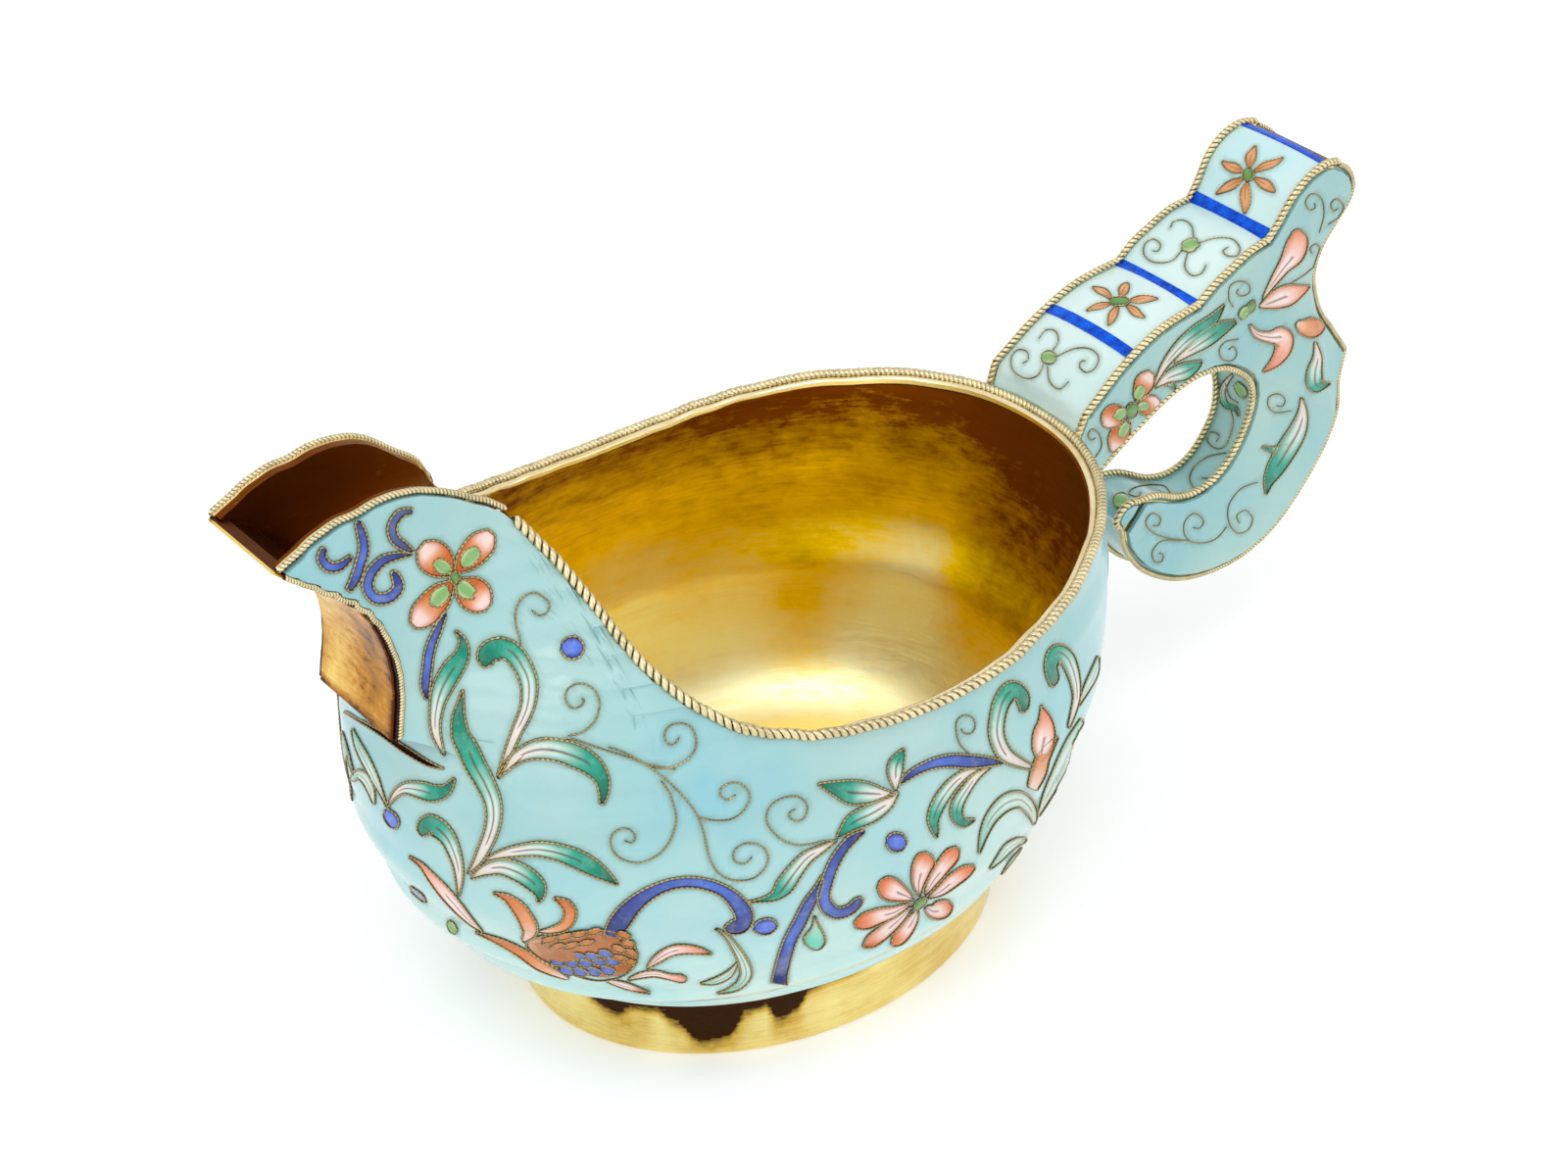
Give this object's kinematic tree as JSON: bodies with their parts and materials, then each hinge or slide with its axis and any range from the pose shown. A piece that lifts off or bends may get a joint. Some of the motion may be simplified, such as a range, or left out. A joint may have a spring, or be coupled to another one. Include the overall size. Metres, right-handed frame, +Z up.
{
  "type": "kovsh",
  "caption": "Boat-shaped drinking vessel of gilded silver with enamel scrollwork, a pinched upswept prow, a rope rim, an oval foot and a loop handle for a finger.",
  "frame": {"origin": "centre of the oval foot, on the surface the vessel stands on", "axes": "+X from the prow to the handle, +Y to the far side, +Z up"},
  "size_m": [0.1474, 0.0636, 0.0776],
  "materials": {
    "gilt": "gilded silver, brushed inside the bowl and polished on the foot, tarnished in the corners",
    "gilt_wire": "pale gilt twisted and beaded wire, dark in its recesses",
    "enamel": "glossy pale turquoise enamel with scrolls, leaves and flowers in wire cells",
    "panel": "glossy pale enamel with stars and spirals in wire cells",
    "cobalt": "glossy cobalt blue enamel"
  },
  "bodies": {
    "root": {"foot_ring": "gilt", "bowl_shell": "gilt", "bowl_enamel": "enamel", "prow_cheek_near": "gilt", "prow_cheek_far": "gilt", "prow_enamel_near": "enamel", "prow_enamel_far": "enamel", "prow_plate": "gilt", "prow_floor": "gilt", "rim_rope": "gilt_wire", "rim_lip": "gilt", "prow_top_wire_near": "gilt_wire", "prow_top_wire_far": "gilt_wire", "prow_front_wire_near": "gilt_wire", "prow_front_wire_far": "gilt_wire", "handle_top_strip": "gilt", "handle_back_strip": "gilt", "handle_loop_strip": "gilt", "handle_back_enamel": "enamel", "handle_loop_enamel": "enamel", "top_panel_1": "panel", "cobalt_band_1": "cobalt", "top_panel_2": "panel", "cobalt_band_2": "cobalt", "top_panel_3": "panel", "cobalt_band_3": "cobalt", "top_panel_4": "panel", "cobalt_band_4": "cobalt", "handle_side_near": "gilt", "handle_side_far": "gilt", "handle_enamel_near": "enamel", "handle_enamel_far": "enamel", "handle_top_rope_near": "gilt_wire", "handle_top_rope_far": "gilt_wire", "handle_back_wire_near": "gilt_wire", "handle_back_wire_far": "gilt_wire", "handle_loop_rope_near": "gilt_wire", "handle_loop_rope_far": "gilt_wire"}
  },
  "joints": []
}
